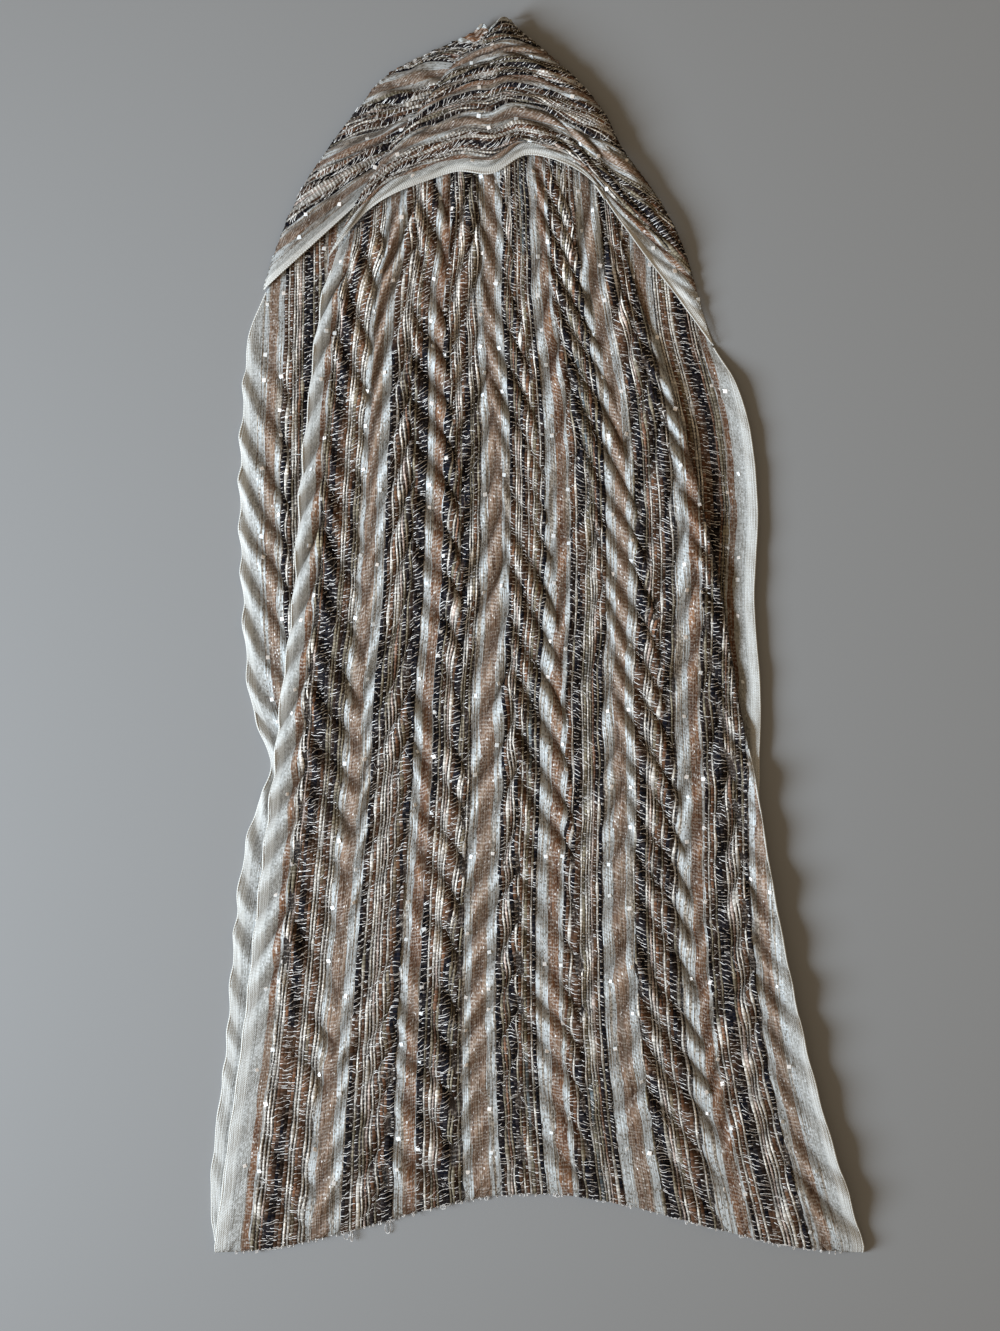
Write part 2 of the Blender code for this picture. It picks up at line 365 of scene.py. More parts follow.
def fold_turn(along):
    """Angle of the front panel round the bottom fold, a quarter turn at its end."""
    return np.clip(along / FOLD_PATH, 0, 1) * np.pi / 2


def front_up(share, along):
    start = bottom_fold(share) + 0.9
    return start + FOLD_REACH * (1 - np.cos(fold_turn(along))) + np.maximum(along - FOLD_PATH, 0)


def front_columns(share, along):
    drifted = 0.03 * drop(front_up(share, along), 0, 330)
    return (share - FRONT_FIRST_COLUMN + drifted) / FRONT_COLUMN


def front_panel(share, along):
    share, along = paired(share, along)
    up = front_up(share, along)
    base = TABLE_GAP + (FRONT_BASE - TABLE_GAP) * np.sin(fold_turn(along))
    left, right = edges_at("front", up)
    inward = (1 - share) * (right - left)
    columns = front_columns(share, along)
    phase = pleat_phase(columns, along)
    fade = climb(along, 2, 16) * climb(front_length(share) - along, 0, 30)
    settles = 0.85 * climb(up, 560, 50) * drop(inward, 0, 18)
    flatter = 0.75 * drop(up, 50, 250)
    calm_left = 1 + (0.1 - flatter) * drop(share, 0.03, 0.05)
    strength = pleat_strength(columns, along, 11) * fade * (1 - settles) * calm_left
    strength = strength * (1 - 0.35 * climb(up, 655, 40))
    profile = pleat_profile(phase)
    scallop = 1.5 * strength * (profile - 0.5) * np.exp(-share / 0.02)
    tucked = 4.0 * climb(up, 250, 150) * (1 - np.exp(-share * (right - left) / 8)) * (1 - share)
    across = left + share * (right - left) - tucked - scallop
    across = across + pleat_sway(columns, phase) * strength
    swell = 0.45 * (1 + drift(share * 5, along / 90, 12)) * fade * (1 - settles)
    doubled = 2.6 * climb(up, 330, 90) * drop(up, 570, 50)
    doubled = doubled * quarter_round(inward / 7) * drop(inward, 12, 26)
    curl = FRONT_CURL * drop(inward, 0, 14) * climb(up, 15, 40) * drop(up, 300, 70)
    height = base + FRONT_DEPTH * strength * profile + swell + doubled + curl
    return np.stack([across, up + 0.5 * fade * np.cos(2 * np.pi * phase), height], -1)


def front_cloth(share, along):
    return share * follow(SECTION_UP, OUTLINE["shows"], front_up(share, along)), along


def front_share(across, along):
    share = across / CLOTH_WIDTH
    for _ in range(2):
        share = across / follow(SECTION_UP, OUTLINE["shows"], front_up(np.clip(share, 0, 1), along))
    return share


# How far above the bottom fold the back panel starts, where it ends, and how far its edges are
# drawn in under the turns
BACK_START = 7.2
BACK_END = LENGTH - 4.0
BACK_INSET = 3.6


def back_up(share, along):
    return bottom_fold(share) + BACK_START + along


def back_length(share):
    return BACK_END - bottom_fold(share) - BACK_START


def back_edges(up):
    """Left and right edge of the back panel at a height."""
    left, right = edges_at("back", up)
    return left + BACK_INSET * climb(up, 600, 30), right - BACK_INSET * climb(up, 564, 30)


def back_columns(share, along):
    return share / BACK_COLUMN + 4


def back_panel(share, along):
    share, along = paired(share, along)
    up = back_up(share, along)
    left, right = back_edges(up)
    columns = back_columns(share, along)
    phase = pleat_phase(columns, along)
    calm = 1 - 0.75 * climb(share, 0.78, 0.12)
    calm = calm * (1 - 0.5 * drop(up, 80, 200) * drop(share, 0.04, 0.08))
    fade = climb(along, 0, 16) * drop(up, 575, 45)
    strength = np.minimum(pleat_strength(columns, along, 21), 1.0) * fade * calm
    profile = pleat_profile(phase)
    scallop = 1.8 * strength * (profile - 0.5) * np.exp(-share / 0.02)
    across = left + share * (right - left) - scallop + pleat_sway(columns, phase) * strength
    beside_front = climb(across - edge_at("front_right", up), -8, 10) * climb(right - across, 0, 16)
    lift = BACK_LIFT * climb(up, 500, 90) * drop(up, 690, 40) * beside_front
    curl = BACK_CURL * drop(right - across, 0, 15) * climb(up, 180, 80) * drop(up, 565, 30)
    height = BACK_BASE + BACK_DEPTH * strength * profile * (1 - lift / 4) + lift + curl
    return np.stack([across, up, height], -1)


def back_straight_edges(up):
    """Edges that the threads of the back panel follow, straight on under the turns."""
    return edges_at("back", up - 25 * np.log1p(np.exp((up - TURNS_FROM) / 25)))


def back_cloth(share, along):
    up = back_up(share, along)
    left, right = back_edges(up)
    first, last = back_straight_edges(up)
    across = left + share * (right - left)
    return CLOTH_WIDTH * (last - across) / (last - first), along


def back_share(across, along):
    up = back_up(1 - across / CLOTH_WIDTH, along)
    left, right = back_edges(up)
    first, last = back_straight_edges(up)
    return (last - across / CLOTH_WIDTH * (last - first) - left) / (right - left)


# Creases of the turns: where across, how deep, how wide
LEFT_CREASES = (
    (0.20, 0.8, 0.035), (0.32, 1.3, 0.045), (0.44, 1.0, 0.035), (0.57, 1.6, 0.045), (0.68, 1.0, 0.03),
    (0.80, 1.7, 0.04), (0.90, 1.2, 0.03),
)
RIGHT_CREASES = (
    (0.12, 1.0, 0.025), (0.21, 1.4, 0.03), (0.31, 2.0, 0.035), (0.43, 1.5, 0.03), (0.53, 2.0, 0.035),
    (0.64, 1.4, 0.03), (0.74, 1.9, 0.035), (0.85, 1.3, 0.03), (0.93, 1.0, 0.025),
)


def creases(share, reach, table, seed):
    """Soft troughs that run along the threads, each wandering, fading and deepening on its way."""
    height = np.zeros(np.shape(share))
    for number, (place, depth, width) in enumerate(table):
        wander = 0.035 * drift(reach * 5 + number * 3.3, number * 1.7, seed)
        uneven = np.clip(1.0 + 1.2 * drift(reach * 5 + number * 5.1, 9.5, seed + 1), 0.0, 2.0)
        height = height - depth * uneven * hump(share - place, wander, width)
    return height


def turn_pleats(across, along, seed):
    """The cloth's pleats where it is gathered: they lie almost along the threads."""
    columns = across / COLUMN_WIDTH - 0.64
    wander = 14 * drift(across / 22, along / 60, seed + 1)
    profile = pleat_profile(pleat_phase(columns, along + wander, GATHERED_RUN))
    strength = pleat_strength(columns * 1.7, along, seed)
    return TURN_DEPTH * strength * (0.5 * profile + 0.5 * ease(profile))


def left_plan(share, reach):
    """The left turn seen from above: threads from the left outline to below the right turn."""
    up = follow(FAN_SHARE, FAN_LEFT, share)
    start = np.stack([edge_at("back_left", up) + SHELL, up], -1)
    end = along_line(ROLLED_EDGE, 0.42 + 0.56 * share) + np.array([11.0, -3.3])
    spots = start + reach[..., None] * (end - start)
    arc = np.sin(np.pi * reach)
    bundle = 5.5 * climb(share, 0.55, 0.3) * drop(share, 0.86, 0.1) * arc ** 2
    spots[..., 1] += 7.0 * share * (1 - share) * arc + bundle
    spots[..., 1] += 2.4 * drift(share * 8 + 1, reach * 4, 37) * climb(share, 0, 0.15) * arc
    spots[..., 1] += 6.0 * hump(spots[..., 0], -34, 3.5) * climb(share, 0.9, 0.1)
    return spots


def right_plan(share, reach):
    """The right turn seen from above: threads from its rolled edge to the right outline."""
    up = follow(FAN_SHARE, FAN_RIGHT, share)
    start = along_line(ROLLED_EDGE, share)
    inset = SHELL + 2.6 * drop(share, 0, 0.2)
    end = np.stack([edge_at("back_right", up) - inset, up - SHELL * share], -1)
    tip_left, tip_right = along_line(ARCH_EDGE, 0.0), along_line(ARCH_EDGE, 1.0)
    bulge = along_line(ARCH_EDGE, reach) - tip_left - reach[..., None] * (tip_right - tip_left)
    spots = start + reach[..., None] * (end - start) + ((1 - share) ** 1.8)[..., None] * bulge
    arc = np.sin(np.pi * reach)
    spots[..., 1] += 7.0 * share * arc
    spots[..., 1] += 3.0 * drift(share * 9 + 1, reach * 6, 47) * climb(share, 0, 0.15) * arc * (1 - share)
    spots[..., 1] += hump(spots[..., 0], -19, 4.0) * climb(share, 0.9, 0.1)
    return spots


def thread_length(plan):
    """Function for the lengths of a fan's threads at shares."""
    share, reach = np.meshgrid(np.linspace(0, 1, 60), np.linspace(0, 1, 60))
    steps = np.linalg.norm(np.diff(plan(share, reach), axis=0), axis=-1)
    lengths = steps.sum(0)
    return lambda at: np.interp(at, share[0], lengths)


left_length = thread_length(left_plan)
right_length = thread_length(right_plan)


def rolled_down(spots, rest, outline):
    """Points of a turn at their heights, which roll down to the table at the outline."""
    roll = quarter_round(distance(spots, outline) / OUTLINE_ROLL)
    return np.concatenate([spots, (TABLE_GAP + (rest - TABLE_GAP) * roll)[..., None]], -1)


def left_turn(share, along):
    share, along = paired(share, along)
    reach = np.clip(along / left_length(share), 0, 1)
    spots = left_plan(share, reach)
    rest = FRONT_BASE + 3.4 * climb(share, 0, 0.33)
    folds = creases(share, reach, LEFT_CREASES, 31) * climb(reach, 0, 0.1)
    pinch = 0.9 * climb(share, 0.8, 0.15) * np.sin(2 * np.pi * (reach * 5 + share * 3))
    pleats = turn_pleats(*left_cloth(share, along), 33) * climb(share, 0.05, 0.1)
    rest = np.maximum(rest + folds + 1.0 + pinch + pleats, FRONT_BASE)
    return rolled_down(spots, rest, LEFT_OUTLINE)


def left_cloth(share, along):
    return CLOTH_WIDTH - LEFT_TAKES * share ** LEFT_GATHER, along + 0 * share


def left_share(across, along):
    return np.clip((CLOTH_WIDTH - across) / LEFT_TAKES, 0, 1.1) ** (1 / LEFT_GATHER) + 0 * along


def right_turn(share, along):
    share, along = paired(share, along)
    reach = np.clip(along / right_length(share), 0, 1)
    spots = right_plan(share, reach)
    on_front = drop(reach, 0.72, 0.2)
    edge_rest = FRONT_BASE + (ARCH_REST - FRONT_BASE) * on_front
    crown = climb(distance(spots, ARCH_LINE), 0, 34.0)
    rest = edge_rest + (TURN_CROWN - edge_rest) * crown
    folds = creases(share, reach, RIGHT_CREASES, 41) * climb(share, 0, 0.08)
    frill = 1.1 * (1 + np.sin(2 * np.pi * (reach * 5.5 + 0.2))) * np.exp(-share / 0.06) * on_front
    frill = frill + 3.0 * np.exp(-((reach - 0.63) / 0.04) ** 2 - (share / 0.09) ** 2)
    pleats = turn_pleats(*right_cloth(share, along), 43) * climb(share, 0.02, 0.07)
    rest = np.maximum(rest + folds + 0.4 * climb(share, 0, 0.2) + pleats + frill, edge_rest)
    foot = edge_rest + (ROLL_REST - edge_rest) * climb(share, 0, 0.17)
    rest = foot + (rest - foot) * quarter_round(distance(spots, ROLLED_LINE) / 7.0)
    return rolled_down(spots, rest, RIGHT_OUTLINE)


def right_gather(share, along):
    """Power that crowds the right turn's threads away from its white edge, more near its right tip."""
    return RIGHT_GATHER + 0.1 * climb(along / right_length(np.clip(share, 0, 1)), 0.6, 0.4)


def right_cloth(share, along):
    return RIGHT_TAKES * share ** right_gather(share, along), along + 0 * share


def right_share(across, along):
    part = np.clip(across / RIGHT_TAKES, 0, 1.1)
    share = part ** (1 / RIGHT_GATHER)
    for _ in range(3):
        share = part ** (1 / right_gather(share, along))
    return share


def unit(vectors):
    return vectors / np.maximum(np.linalg.norm(vectors, axis=-1, keepdims=True), 1e-9)


def step_across(stretch, share, along):
    return stretch(share + SHARE_STEP, along) - stretch(share - SHARE_STEP, along)


def cavity(stretch, share, along):
    """Soft measure of folds: 0 at the bottom of a trough, 1 on a crest. It sets the shade painted into the
    troughs.
    """
    wide = np.linalg.norm(step_across(stretch, share, along), axis=-1) / (2 * SHARE_STEP)
    aside = 6.0 / np.maximum(wide, 60.0)
    beside = stretch(share + aside, along)[..., 2] + stretch(share - aside, along)[..., 2]
    return ease(0.5 + (stretch(share, along)[..., 2] - beside / 2) / 5.0)


def upward(stretch, share, along):
    """Unit normals of a stretch, on its upper side."""
    by_along = stretch(share, along + ALONG_STEP) - stretch(share, along - ALONG_STEP)
    normals = np.cross(step_across(stretch, share, along), by_along)
    return unit(normals * np.where(normals[..., 2:] < 0, -1, 1))


# ---------------------------------------------------------------- materials

def operator(operation, swapped=False):
    """Method for one of Python's operators between a wire and a wire or number."""
    def method(wire, other):
        first, second = (other, wire) if swapped else (wire, other)
        return wire.math(operation, first, second)
    return method


class Wire:
    """A socket of a material, with arithmetic that adds Math nodes."""

    def __init__(self, tree, socket):
        self.tree = tree
        self.socket = socket

    def node(self, kind, settings=None, inputs=None, output=0):
        """Add any node: its settings first, then the values or wires of its sockets."""
        made = self.tree.nodes.new("ShaderNode" + kind)
        for name, value in (settings or {}).items():
            setattr(made, name, value)
        for name, value in (inputs or {}).items():
            if isinstance(value, Wire):
                self.tree.links.new(value.socket, made.inputs[name])
            else:
                made.inputs[name].default_value = value
        return Wire(self.tree, made.outputs[output])

    def other(self, output):
        """Another output of this wire's node."""
        return Wire(self.tree, self.socket.node.outputs[output])

    def math(self, operation, first, second=0.0):
        return self.node("Math", {"operation": operation}, {0: first, 1: second})

    __add__, __radd__ = operator("ADD"), operator("ADD", swapped=True)
    __sub__, __rsub__ = operator("SUBTRACT"), operator("SUBTRACT", swapped=True)
    __mul__, __rmul__ = operator("MULTIPLY"), operator("MULTIPLY", swapped=True)
    __truediv__ = operator("DIVIDE")

    def step(self, low, high):
        """Smooth step of this value, 0 at low and 1 at high."""
        limits = {"Value": self, "From Min": low, "From Max": high}
        return self.node("MapRange", {"interpolation_type": "SMOOTHSTEP"}, limits)

    def wave(self, pitch):
        """Sine of this value, 0 to 1, once every pitch."""
        return self.math("SINE", self * (2 * np.pi / pitch)) * 0.5 + 0.5

    def blend(self, first, second):
        """Colour between two, by this value."""
        first, second = (c if isinstance(c, Wire) else (*c, 1.0) for c in (first, second))
        return self.node("Mix", {"data_type": "RGBA"}, {0: self, 6: first, 7: second}, output=2)

    def tinted(self, tint):
        """This colour multiplied by a fixed one."""
        settings = {"data_type": "RGBA", "blend_type": "MULTIPLY"}
        return self.node("Mix", settings, {0: 1.0, 6: self, 7: (*tint, 1.0)}, output=2)


class Cloth(Wire):
    """A new material with fixed values, and the cloth's own measure in it, in millimetres."""

    def __init__(self, name, **fixed):
        self.material = bpy.data.materials.new(name)
        self.material.use_nodes = True
        super().__init__(self.material.node_tree, None)
        self.shader = self.tree.nodes["Principled BSDF"]
        for socket, value in fixed.items():
            self.shader.inputs[socket.replace("_", " ")].default_value = value
        split = self.node("SeparateXYZ", None, {"Vector": self.node("UVMap", {"uv_map": "cloth"})})
        self.across = split * 1000.0
        self.along = split.other(1) * 1000.0

    def dyes_and_painted_shade(self):
        """Colour that a piece carries at its points: a yarn's dye with painted shade, or on the cloth
        painted shade alone.
        """
        return self.node("Attribute", {"attribute_name": "dye_and_painted_shade"})

    def place(self, across, along):
        return self.node("CombineXYZ", None, {"X": across, "Y": along})

    def noise(self, across_scale, along_scale, detail=2.0):
        """Noise stretched by a scale each way, in features per millimetre."""
        place = self.place(self.across * across_scale, self.along * along_scale)
        return self.node("TexNoise", None, {"Vector": place, "Scale": 1.0, "Detail": detail})

    def flecks(self, across_size, along_size):
        """An even random number for each small cell of the cloth."""
        cell = [self.math("FLOOR", self.across / across_size), self.math("FLOOR", self.along / along_size)]
        return self.node("TexWhiteNoise", None, {"Vector": self.place(*cell)})

    def bump(self, height, strength, distance_mm):
        return self.node("Bump", None, {
            "Height": height, "Strength": strength, "Distance": distance_mm * MM})

    def looks(self, **wires):
        """The material, with wires plugged into its shader."""
        for socket, wire in wires.items():
            self.tree.links.new(wire.socket, self.shader.inputs[socket.replace("_", " ")])
        return self.material


def band_stops():
    """Where the bands change across the cloth, as colours: red pale, green copper, blue margin."""
    stops = [(0.0, (0, 0, 1))]
    for pale_from, copper_from, copper_to, pale_to, strong in STRIPES:
        if copper_from > pale_from:
            stops.append((pale_from, (1, 0, 0)))
        stops.append((copper_from, (0, 1.0 if strong else 0.5, 0)))
        stops.append((copper_to, (1, 0, 0)))
        stops.append((pale_to, (0, 0, 1) if pale_to >= RIGHT_MARGIN else (0, 0, 0)))
    return stops


def striped_cloth(name, gathered):
    """The woven ground: twill margins, satiny pale bands, copper stripes and the open weave.

    Shade is painted into the troughs of the pleats and folds. Where the cloth is gathered, its pale
    and copper bands take painted shade in patches, and its margins are painted a little lighter."""
    cloth = Cloth(name, Sheen_Weight=0.05, Sheen_Roughness=0.5, Specular_IOR_Level=0.25)
    uneven = cloth.noise(0.3, 0.05, 3.0) - 0.5
    ramp = cloth.node("ValToRGB", None, {"Fac": (cloth.across + uneven * 5.0) / CLOTH_WIDTH})
    colours = ramp.socket.node.color_ramp
    colours.interpolation = "CONSTANT"
    colours.elements.remove(colours.elements[1])
    for number, (place, colour) in enumerate(band_stops()):
        stop = colours.elements.new(place / CLOTH_WIDTH) if number else colours.elements[0]
        stop.color = (*colour, 1.0)
    pale = cloth.node("SeparateColor", None, {"Color": ramp})
    copper, margin = pale.other(1), pale.other(2)
    is_copper, strong = copper.step(0.1, 0.4), copper.step(0.6, 0.9)

    fine = cloth.noise(0.9, 0.5)
    twill_line = (cloth.across + cloth.along * 0.9).wave(1.1)
    weft_line = (cloth.along + fine * 1.4).wave(1.9)
    speck = cloth.flecks(1.0, 1.2)
    streak = cloth.noise(0.5, 0.012).step(0.5, 0.6)
    thread = cloth.noise(1.3, 0.03).step(0.35, 0.65)
    long_stain = cloth.noise(0.5, 0.02, 3.0).step(0.34, 0.66)
    patch = cloth.noise(0.12, 0.035, 2.0).step(0.4, 0.6)
    weft_row = (cloth.along + cloth.noise(0.45, 0.2) * 3.0).wave(WEFT_PITCH).step(0.5, 0.85)
    ticks = weft_row * cloth.flecks(2.6, WEFT_PITCH).step(0.3, 0.45)
    glint = cloth.flecks(0.9, 1.3).step(0.955, 0.99) * (pale * 0.5 + is_copper * 0.8)

    tight = cloth.across.step(6.0, 8.5) * (1 - cloth.across.step(414.5, 416.5))
    whiter, duller = (0.76, 0.775, 0.76), (0.52, 0.50, 0.45)
    # On the turns the margins are painted a little lighter, to offset the shade on the turns' edges.
    if gathered:
        whiter, duller = (0.78, 0.78, 0.75), (0.56, 0.53, 0.47)
    margin_plain = (twill_line * 0.5 + speck * 0.4).blend(whiter, duller)
    dots = speck.blend((0.19, 0.18, 0.155), (0.62, 0.63, 0.62))
    margin_colour = (tight * 0.75).blend(margin_plain, dots)
    silver = speck.step(0.0, 0.35).blend((0.26, 0.25, 0.22), (0.69, 0.74, 0.755))
    beige = speck.step(0.2, 1.0).blend((0.17, 0.135, 0.10), (0.58, 0.51, 0.42))
    pale_colour = (thread * 0.25).blend(streak.blend(silver, beige), (0.22, 0.17, 0.125))
    copper_soft = thread.blend((0.130, 0.072, 0.044), (0.380, 0.252, 0.172))
    copper_rust = thread.blend((0.105, 0.043, 0.021), (0.320, 0.160, 0.080))
    copper_colour = (speck.step(0.7, 0.9) * 0.6).blend(
        strong.blend(copper_soft, copper_rust), (0.60, 0.49, 0.41))
    copper_colour = (streak * 0.35).blend(copper_colour, (0.33, 0.29, 0.23))
    open_dark = long_stain.blend((0.007, 0.006, 0.007), (0.055, 0.035, 0.024))
    open_colour = (speck.step(0.8, 0.95) * 0.35).blend(open_dark, (0.30, 0.24, 0.18))
    if gathered:
        # Painted shade on the turns: in patches the pale and copper bands take shaded copies of their
        # colours; the patches thin out from 60 to 170 mm along a turn and keep off the tips.
        at_tips = cloth.across.step(205, 222) * (1 - cloth.across.step(236, 250))
        patch = patch * (1 - cloth.along.step(60, 170) * 0.8) * (1 - at_tips)
        pale_shaded = speck.blend((0.085, 0.058, 0.040), (0.29, 0.215, 0.142))
        copper_shaded = speck.blend((0.06, 0.037, 0.024), (0.24, 0.160, 0.105))
        pale_colour = (patch * 0.8).blend(pale_colour, pale_shaded)
        copper_colour = (patch * 0.7).blend(copper_colour, copper_shaded)
    colour = pale.blend(open_colour, pale_colour)
    colour = is_copper.blend(colour, copper_colour)
    ticked = ticks * (0.28 + is_copper * 0.17 + pale * 0.02)
    colour = ticked.blend(colour, fine.step(0.4, 0.6).blend((0.56, 0.48, 0.42), (0.72, 0.69, 0.65)))
    colour = margin.blend(colour, margin_colour)
    colour = glint.blend(colour, (0.95, 0.92, 0.88))
    # Painted shade: darker and browner in the troughs of the pleats and folds, less so on the margins and
    # not at the turns' tips.
    painted_trough_shade = (1 - cloth.dyes_and_painted_shade()) * (0.7 - margin * 0.35)
    if gathered:
        painted_trough_shade = painted_trough_shade * (1 - at_tips)
    relief = weft_line * 0.4 + speck * 0.4 * (1 - margin) + twill_line * margin * 0.6 + thread * 0.8
    return cloth.looks(
        Base_Color=painted_trough_shade.blend(colour, colour.tinted((0.22, 0.17, 0.13))),
        Metallic=is_copper * 0.06 + pale * 0.22 + glint * 0.3,
        Roughness=0.76 - is_copper * 0.08 - pale * 0.10 - glint * 0.3,
        Normal=cloth.bump(relief, 0.6, 0.5))


def slub_yarn():
    """Space-dyed yarn: its dye and painted shade are carried by the piece, broken up by fibres and binding
    threads.
    """
    cloth = Cloth("slub yarn", Sheen_Weight=0.02, Sheen_Roughness=0.5, Specular_IOR_Level=0.05)
    dye_and_painted_shade = cloth.dyes_and_painted_shade()
    bind = (cloth.along + cloth.noise(0.6, 0.4) * 1.6).wave(WEFT_PITCH)
    fibre = cloth.flecks(0.7, 1.3)
    slub = cloth.noise(0.7, 0.22).step(0.38, 0.62)
    bright, dull = dye_and_painted_shade.tinted((1.26, 1.25, 1.24)), dye_and_painted_shade.tinted((0.48, 0.47, 0.46))
    lit = (fibre * 0.4 + slub * 0.6).blend(dull, bright)
    # The yarn turns near black in a band where each weft binds it.
    darkened_at_binds = (bind.step(0.6, 1.0) * 0.45).blend(lit, (0.04, 0.028, 0.023))
    tick = (1 - bind).step(0.5, 0.85) * cloth.flecks(1.0, WEFT_PITCH).step(0.45, 0.6)
    coloured = cloth.node("SeparateColor", None, {"Color": dye_and_painted_shade}).step(0.02, 0.10)
    return cloth.looks(
        Base_Color=(tick * (coloured * 0.25 + 0.08)).blend(darkened_at_binds, (0.45, 0.38, 0.33)),
        Roughness=1.0 - fibre * 0.1,
        Normal=cloth.bump(fibre * 0.8 - bind, 0.8, 0.4))


def weft_thread():
    """Fine off-white weft and stray fibres."""
    cloth = Cloth("weft thread", Roughness=0.7)
    fleck = cloth.noise(0.3, 0.5).step(0.38, 0.62)
    return cloth.looks(Base_Color=fleck.blend((0.30, 0.25, 0.21), (0.93, 0.91, 0.88)))


def selvedge_cord():
    """Firm white edge of the cloth."""
    cloth = Cloth("selvedge cord", Sheen_Weight=0.1)
    ply = cloth.along.wave(1.6)
    return cloth.looks(
        Base_Color=ply.blend((0.56, 0.54, 0.49), (0.74, 0.73, 0.69)),
        Roughness=0.8 - ply * 0.15,
        Normal=cloth.bump(ply, 0.5, 0.3))


def sequin_foil():
    """Pearly foil of the micro sequins."""
    cloth = Cloth("sequin foil", Coat_Weight=0.6, Coat_Roughness=0.1)
    tint = cloth.noise(0.12, 0.12).step(0.4, 0.6)
    return cloth.looks(
        Base_Color=tint.blend((0.86, 0.90, 0.92), (0.95, 0.88, 0.82)),
        Roughness=0.35 + tint * 0.15,
        Metallic=tint * 0.1)


CLOTH = striped_cloth("striped cloth", gathered=False)
GATHERED = striped_cloth("gathered cloth", gathered=True)
YARN = slub_yarn()
WEFT = weft_thread()
SELVEDGE = selvedge_cord()
FOIL = sequin_foil()


# ---------------------------------------------------------------- pieces

def to_world(points):
    """Millimetres in the outline's own measure to metres around the origin, on the table."""
    points = np.array(points, dtype=float) - (0.0, LENGTH / 2, 0.0)
    points[..., 2] = np.maximum(points[..., 2], 0.05)
    return points * MM


def into_scene(name, data):
    thing = bpy.data.objects.new(name, data)
    bpy.context.scene.collection.objects.link(thing)
    return thing


def put(name, points, faces, material, measure, dyes_and_painted_shade=None, smooth=True):
    """Mesh piece from points in millimetres, with its cloth measure, and dyes and painted shade by point.
    """
    mesh = bpy.data.meshes.new(name)
    mesh.from_pydata(to_world(points).tolist(), [], np.asarray(faces).tolist())
    corners = np.empty(len(mesh.loops), dtype=np.int32)
    mesh.loops.foreach_get("vertex_index", corners)
    layer = mesh.uv_layers.new(name="cloth")
    layer.data.foreach_set("uv", (np.asarray(measure)[corners] * MM).astype(np.float32).ravel())
    if dyes_and_painted_shade is not None:
        colours = mesh.color_attributes.new("dye_and_painted_shade", "FLOAT_COLOR", "POINT")
        four = np.concatenate([dyes_and_painted_shade, np.ones((len(dyes_and_painted_shade), 1))], 1)
        colours.data.foreach_set("color", four.astype(np.float32).ravel())
    mesh.polygons.foreach_set("use_smooth", [smooth] * len(mesh.polygons))
    mesh.materials.append(material)
    mesh.validate()
    return into_scene(name, mesh)


def grid_faces(rows, columns, start=0):
    """Quads of a grid of points laid out row by row."""
    low = np.arange(rows - 1)[:, None] * columns + np.arange(columns - 1)[None, :] + start
    return np.stack([low, low + 1, low + columns + 1, low + columns], -1).reshape(-1, 4)


def shell(name, stretch, cloth, share, along, material):
    """Thin shell of cloth from a grid of places, which may close up at its ends."""
    points, measure = stretch(share, along), np.stack(cloth(share, along), -1)
    faces = grid_faces(*share.shape)
    # Painted shade: how deep each point lies in a trough, carried by the piece as its colour attribute.
    depth = np.repeat(cavity(stretch, share, along).reshape(-1, 1), 3, 1)
    piece = put(name, points.reshape(-1, 3), faces, material, measure.reshape(-1, 2), depth)
    weld, lowest = 0.00001, 0.00002
    build = bmesh.new()
    build.from_mesh(piece.data)
    bmesh.ops.remove_doubles(build, verts=build.verts, dist=weld)
    bmesh.ops.dissolve_degenerate(build, edges=build.edges, dist=weld)
    if sum(face.normal.z for face in build.faces) < 0:
        bmesh.ops.reverse_faces(build, faces=build.faces)
    build.to_mesh(piece.data)
    build.free()
    wall = piece.modifiers.new("cloth wall", "SOLIDIFY")
    wall.thickness = SHELL * MM
    wall.offset = 1.0
    wall.use_rim = True
    bpy.context.view_layer.objects.active = piece
    piece.select_set(True)
    bpy.ops.object.modifier_apply(modifier="cloth wall")
    piece.select_set(False)
    for vert in piece.data.vertices:
        vert.co.z = max(vert.co.z, lowest)
    return piece


# Extra columns of points close to the edges of a panel
EDGE_SHARES = (0.004, 0.01, 0.985, 0.992, 0.997)


def pleated_shell(name, stretch, cloth, columns_of, length_of, across_steps):
    """Shell whose rows of points lie on its pleat lines, so that every fold is clean."""
    share = np.union1d(np.linspace(0, 1, across_steps), EDGE_SHARES)
    reach = max(length_of(share)) + PLEAT_RUN
    low = -PLEAT_RUN - PLEAT_REPEAT
    phase = np.arange(low, reach + PLEAT_REPEAT, PLEAT_REPEAT / PLEAT_STEPS) / PLEAT_REPEAT
    share, phase = np.meshgrid(share, phase)
    along = phase * PLEAT_REPEAT
    for _ in range(4):
        columns = columns_of(share, np.clip(along, 0, LENGTH))
        along = phase * PLEAT_REPEAT + PLEAT_RUN * chevron(columns) - pleat_wander(columns, along)
    return shell(name, stretch, cloth, share, np.clip(along, 0, length_of(share)), CLOTH)


def turn_shell(name, stretch, cloth, length_of, shares, reach):
    """Shell whose rows of points are closest at the end that rolls down to the table."""
    share, reach = np.meshgrid(np.linspace(0, 1, shares), reach)
    return shell(name, stretch, cloth, share, reach * length_of(share), GATHERED)


def quarter_turn(count):
    return np.linspace(0, np.pi / 2, count)


front = pleated_shell("front_cloth", front_panel, front_cloth, front_columns, front_length, 56)
back = pleated_shell("back_cloth", back_panel, back_cloth, back_columns, back_length, 54)
left = turn_shell("left_turn_cloth", left_turn, left_cloth, left_length,
                  150, 1 - np.cos(quarter_turn(90)))
right = turn_shell("right_turn_cloth", right_turn, right_cloth, right_length,
                   160, np.sin(quarter_turn(220)))


